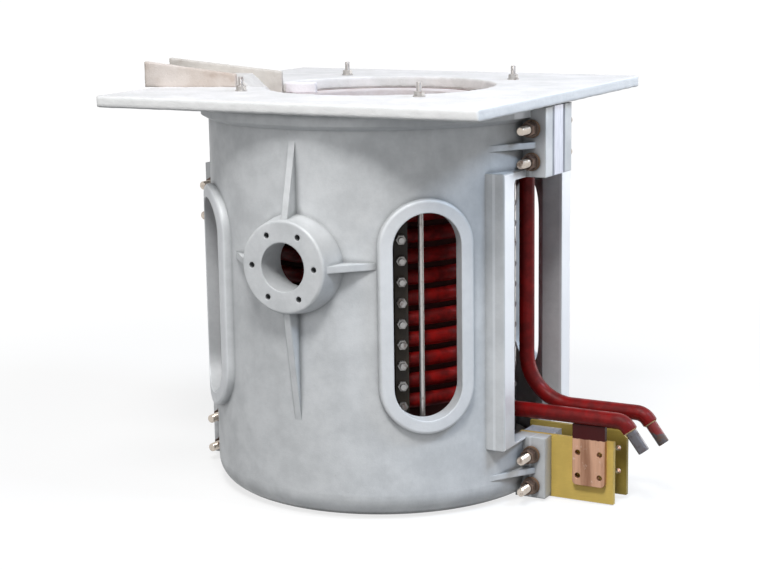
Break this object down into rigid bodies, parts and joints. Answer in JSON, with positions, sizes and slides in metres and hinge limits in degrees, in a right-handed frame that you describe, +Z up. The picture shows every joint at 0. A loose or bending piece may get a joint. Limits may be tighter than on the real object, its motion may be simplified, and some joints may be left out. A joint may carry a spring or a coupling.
{
  "type": "induction melting furnace",
  "caption": "Coreless induction melting furnace: split cast shell with windows and trunnion bosses, water-cooled coil, leads, lining, square top board and spout.",
  "frame": {"origin": "middle of the shell's flat underside, where the furnace stands", "axes": "+Z up, +X towards the opening that the coil leads leave by, the trunnion bosses on -Y and +Y"},
  "size_m": [0.9886, 0.72, 0.787],
  "materials": {
    "cast_shell": "sand-cast aluminium, dull silver grey",
    "spacer_aluminium": "milled aluminium bar, satin",
    "gasket_board": "dark mica board edge",
    "stud_steel": "threaded steel, oily",
    "insulating_bush": "wound phenolic tube",
    "insulating_washer": "brown phenolic",
    "washer_steel": "plain steel washer",
    "nut_steel": "dull steel with brown tint",
    "glass_epoxy": "yellow glass-epoxy laminate",
    "glass_epoxy_aged": "olive-yellow glass-epoxy laminate",
    "terminal_copper": "tarnished copper, brown",
    "coil_paint": "dark red insulating enamel",
    "lead_paint": "red insulating enamel, glossy",
    "nozzle_steel": "dark turned steel",
    "coil_stud_steel": "threaded steel",
    "coil_nut_steel": "dull steel",
    "post_bakelite": "black phenolic bar",
    "floor_cement": "asbestos-free cement board",
    "base_refractory": "cast refractory",
    "coil_grout": "trowelled coil grout",
    "mica_sleeve": "mica and ceramic-fibre paper",
    "ring_refractory": "cast refractory",
    "rammed_lining": "rammed, sintered refractory",
    "top_cement": "pale fibre-cement board, rough",
    "rod_steel": "threaded steel rod",
    "rod_washer_steel": "plain steel washer",
    "rod_nut_steel": "dull steel",
    "spout_front_board": "pinkish refractory board, stained",
    "spout_rear_board": "grey-beige refractory board",
    "spout_mortar": "trowelled mortar"
  },
  "bodies": {
    "root": {"base_block": "base_refractory", "coil_end_block_lower": "coil_paint", "coil_end_block_upper": "coil_paint", "coil_grout": "coil_grout", "coil_lead_lower": "lead_paint", "coil_lead_upper": "lead_paint", "coil_post_1": "post_bakelite", "coil_post_2": "post_bakelite", "coil_post_3": "post_bakelite", "coil_post_4": "post_bakelite", "coil_post_5": "post_bakelite", "coil_post_6": "post_bakelite", "coil_post_7": "post_bakelite", "coil_post_8": "post_bakelite", "coil_stud_nuts": "coil_nut_steel", "coil_studs": "coil_stud_steel", "flange_bushes": "insulating_bush", "flange_insulating_washers": "insulating_washer", "flange_nuts": "nut_steel", "flange_steel_washers": "washer_steel", "flange_studs": "stud_steel", "floor_board": "floor_cement", "hose_nozzle_lower": "nozzle_steel", "hose_nozzle_upper": "nozzle_steel", "induction_coil": "coil_paint", "joint_gasket_lower_front": "gasket_board", "joint_gasket_lower_rear": "gasket_board", "joint_gasket_upper_front": "gasket_board", "joint_gasket_upper_rear": "gasket_board", "joint_spacer_lower": "spacer_aluminium", "joint_spacer_upper": "spacer_aluminium", "lining_sleeve": "mica_sleeve", "rammed_lining": "rammed_lining", "shell_half_front": "cast_shell", "shell_half_rear": "cast_shell", "spout_mortar": "spout_mortar", "spout_plate_front": "spout_front_board", "spout_plate_rear": "spout_rear_board", "spout_tongue": "spout_rear_board", "terminal_board_front": "glass_epoxy", "terminal_board_rear": "glass_epoxy_aged", "terminal_plate_front": "terminal_copper", "terminal_plate_rear": "terminal_copper", "tie_rod_nuts": "rod_nut_steel", "tie_rod_washers": "rod_washer_steel", "tie_rods": "rod_steel", "top_board": "top_cement", "top_ring": "ring_refractory"}
  },
  "joints": []
}
